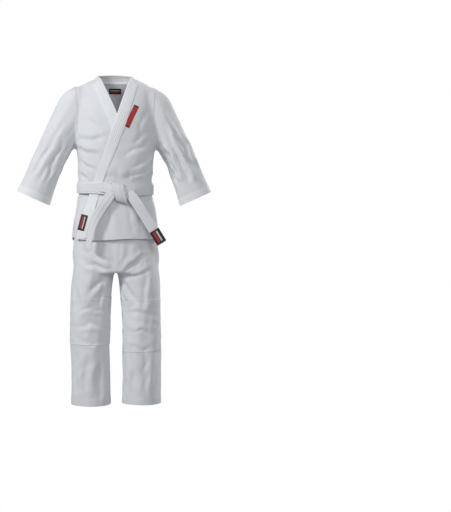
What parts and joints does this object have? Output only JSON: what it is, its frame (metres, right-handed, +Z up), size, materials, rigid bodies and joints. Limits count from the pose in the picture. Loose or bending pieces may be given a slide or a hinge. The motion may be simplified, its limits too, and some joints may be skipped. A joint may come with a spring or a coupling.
{
  "type": "martial arts uniform",
  "caption": "Worn judo uniform, filled out with no wearer: crossed jacket with thick collar band, knotted belt and wide trousers with knee patches, jointed at shoulders, elbows, hips and knees.",
  "frame": {"origin": "centre of the neck opening, where the collar meets the shoulders, in the wearer's middle plane", "axes": "+Z up along the standing wearer, the wearer faces -Y and the wearer's left is +X"},
  "size_m": [0.8148, 0.2755, 1.402],
  "materials": {
    "cotton": "woven cotton, matt",
    "band": "quilted cotton band with rows of stitching",
    "belt": "stitched cotton webbing",
    "core": "stiff interlining",
    "tape": "twill tape",
    "label": "woven label with coloured stripes",
    "badge": "woven badge"
  },
  "bodies": {
    "jacket": {"jacket_back_left": "cotton", "jacket_back_right": "cotton", "jacket_front_left": "cotton", "jacket_front_right": "cotton", "skirt_front_left": "cotton", "skirt_front_right": "cotton", "skirt_back_yoke": "cotton", "shoulder_lining": "cotton", "neck_collar": "band", "neck_collar_core": "core", "left_lapel": "band", "left_lapel_core": "core", "right_lapel": "band", "right_lapel_core": "core", "back_seam_tape": "tape", "waist_seam_tape": "tape", "vent_gusset_left": "cotton", "vent_gusset_right": "cotton", "neck_label": "label", "size_tab": "label", "chest_patch": "badge", "lapel_label": "label", "sleeve_left_cap": "cotton", "sleeve_right_cap": "cotton", "armhole_seam_left": "cotton", "armhole_seam_right": "cotton", "belt_first_turn": "belt", "belt_second_turn": "belt", "belt_knot": "belt", "belt_knot_loop": "belt"},
    "left_sleeve": {"sleeve_left_upper": "cotton"},
    "left_forearm": {"sleeve_left_forearm": "cotton", "cuff_left": "cotton", "cuff_facing_left": "cotton"},
    "right_sleeve": {"sleeve_right_upper": "cotton"},
    "right_forearm": {"sleeve_right_forearm": "cotton", "cuff_right": "cotton", "cuff_facing_right": "cotton"},
    "back_skirt": {"skirt_back_flap": "cotton"},
    "left_belt_end": {"belt_tail_left": "belt", "belt_tail_label": "label"},
    "right_belt_end": {"belt_tail_right": "belt"},
    "trousers": {"trouser_seat_left": "cotton", "trouser_seat_right": "cotton", "trouser_waistband": "cotton", "belt_loop_left": "tape", "belt_loop_right": "tape", "crotch_gusset": "cotton", "trouser_hip_left": "cotton", "trouser_hip_right": "cotton"},
    "left_thigh": {"leg_left_thigh": "cotton", "knee_patch_left_upper": "cotton"},
    "left_shin": {"leg_left_shin": "cotton", "leg_left_hem": "cotton", "knee_patch_left_lower": "cotton"},
    "right_thigh": {"leg_right_thigh": "cotton", "knee_patch_right_upper": "cotton"},
    "right_shin": {"leg_right_shin": "cotton", "leg_right_hem": "cotton", "knee_patch_right_lower": "cotton"}
  },
  "joints": [
    {"name": "left_shoulder", "type": "hinge", "parent": "jacket", "child": "left_sleeve", "pos_m": [0.205, 0.005, -0.108], "axis": [0, -1, 0], "range_deg": [0, 55]},
    {"name": "left_elbow", "type": "hinge", "parent": "left_sleeve", "child": "left_forearm", "pos_m": [0.2809, -0.022, -0.3621], "axis": [-0.91, 0, -0.4147], "range_deg": [0, 75]},
    {"name": "right_shoulder", "type": "hinge", "parent": "jacket", "child": "right_sleeve", "pos_m": [-0.205, 0.005, -0.108], "axis": [0, 1, 0], "range_deg": [0, 55]},
    {"name": "right_elbow", "type": "hinge", "parent": "right_sleeve", "child": "right_forearm", "pos_m": [-0.2809, -0.022, -0.3621], "axis": [-0.91, 0, 0.4147], "range_deg": [0, 75]},
    {"name": "trousers_slide", "type": "slide", "parent": "jacket", "child": "trousers", "axis": [0, 0, 1], "range_m": [-0.3, 0]},
    {"name": "left_hip", "type": "hinge", "parent": "trousers", "child": "left_thigh", "pos_m": [0, -0.02, -0.726], "axis": [-1, 0, 0], "range_deg": [-20, 50]},
    {"name": "left_knee", "type": "hinge", "parent": "left_thigh", "child": "left_shin", "pos_m": [0, 0.025, -0.981], "axis": [1, 0, 0], "range_deg": [0, 80]},
    {"name": "right_hip", "type": "hinge", "parent": "trousers", "child": "right_thigh", "pos_m": [0, -0.02, -0.726], "axis": [-1, 0, 0], "range_deg": [-20, 50]},
    {"name": "right_knee", "type": "hinge", "parent": "right_thigh", "child": "right_shin", "pos_m": [0, 0.025, -0.981], "axis": [1, 0, 0], "range_deg": [0, 80]},
    {"name": "back_skirt_lift", "type": "hinge", "parent": "jacket", "child": "back_skirt", "pos_m": [0, 0.116, -0.534], "axis": [1, 0, 0], "range_deg": [0, 45]},
    {"name": "left_belt_end_lift", "type": "hinge", "parent": "jacket", "child": "left_belt_end", "pos_m": [0, -0.138, -0.486], "axis": [-1, 0, 0], "range_deg": [0, 60]},
    {"name": "right_belt_end_lift", "type": "hinge", "parent": "jacket", "child": "right_belt_end", "pos_m": [0, -0.138, -0.486], "axis": [-1, 0, 0], "range_deg": [0, 60]}
  ]
}
